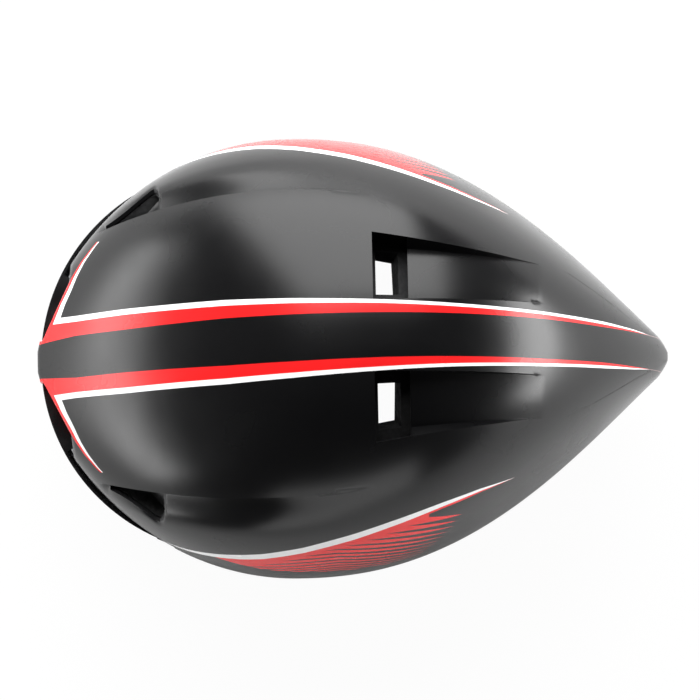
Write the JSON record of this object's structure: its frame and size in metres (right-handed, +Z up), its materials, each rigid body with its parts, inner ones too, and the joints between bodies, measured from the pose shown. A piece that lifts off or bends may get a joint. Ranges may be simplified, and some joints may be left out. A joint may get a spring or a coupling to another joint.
{
  "type": "bicycle helmet",
  "caption": "Aero time-trial bicycle helmet with a short tail, a wrap-round visor held by magnets, rear dial fit system, air intakes and outlets, and webbing straps.",
  "frame": {"origin": "middle of the helmet's length and width, on the plane that the ear flaps rest on", "axes": "+Z up through the crown, -Y forwards to the nose and visor, +Y back to the tail, +X to the wearer's left"},
  "size_m": [0.2168, 0.315, 0.21],
  "materials": {
    "shell_black": "satin",
    "foam": "matte",
    "lens": "polished",
    "trim": "gloss",
    "padding": "matte",
    "fit_plastic": "satin",
    "dial": "matte",
    "buckle": "satin",
    "webbing": "matte",
    "steel": "brushed"
  },
  "bodies": {
    "helmet": {"outer_shell": "shell_black", "eps_liner": "foam", "brow_magnets": "steel", "brow_pad": "padding", "crown_pad": "padding", "left_side_pad": "padding", "right_side_pad": "padding", "left_temple_socket": "fit_plastic", "right_temple_socket": "fit_plastic", "hanger_strap": "fit_plastic", "hanger_plug": "fit_plastic", "strap_anchors": "fit_plastic", "left_front_strap": "webbing", "left_rear_strap": "webbing", "right_front_strap": "webbing", "right_rear_strap": "webbing", "left_divider": "buckle", "right_divider": "buckle", "left_chin_strap": "webbing", "right_chin_strap": "webbing", "buckle_female": "buckle", "strap_keeper": "buckle"},
    "visor": {"visor_lens": "lens", "visor_frame": "trim", "visor_magnets": "steel"},
    "cradle": {"cradle": "fit_plastic", "cradle_cover": "fit_plastic", "cover_screws": "steel", "detent_spring": "steel", "nape_pads": "padding"},
    "dial": {"dial_knob": "dial", "dial_pinion": "fit_plastic", "dial_screw": "steel"},
    "left_arm": {"left_arm": "fit_plastic"},
    "right_arm": {"right_arm": "fit_plastic"},
    "buckle_plug": {"buckle_male": "buckle"}
  },
  "joints": [
    {"name": "visor_pull", "type": "slide", "parent": "helmet", "child": "visor", "axis": [0, -0.866, -0.5], "range_m": [0, 0.05]},
    {"name": "cradle_tilt", "type": "hinge", "parent": "helmet", "child": "cradle", "pos_m": [0, -0.062, 0.072], "axis": [1, 0, 0], "range_deg": [-1.6, 1.6]},
    {"name": "dial_turn", "type": "hinge", "parent": "cradle", "child": "dial", "pos_m": [0, 0.09, 0.072], "axis": [0, -1, 0], "range_deg": [0, 84]},
    {"name": "left_arm_slide", "type": "slide", "parent": "cradle", "child": "left_arm", "axis": [-1, 0, 0], "range_m": [0, 0.0078]},
    {"name": "right_arm_slide", "type": "slide", "parent": "cradle", "child": "right_arm", "axis": [1, 0, 0], "range_m": [0, 0.008]},
    {"name": "buckle_release", "type": "slide", "parent": "helmet", "child": "buckle_plug", "axis": [1, 0, 0], "range_m": [0, 0.02], "deforming": ["left_chin_strap"]}
  ],
  "couplings": [
    {"joint": "dial_turn", "follows": "left_arm_slide", "rad_per_m": 178.57},
    {"joint": "right_arm_slide", "follows": "left_arm_slide", "ratio": 1}
  ]
}
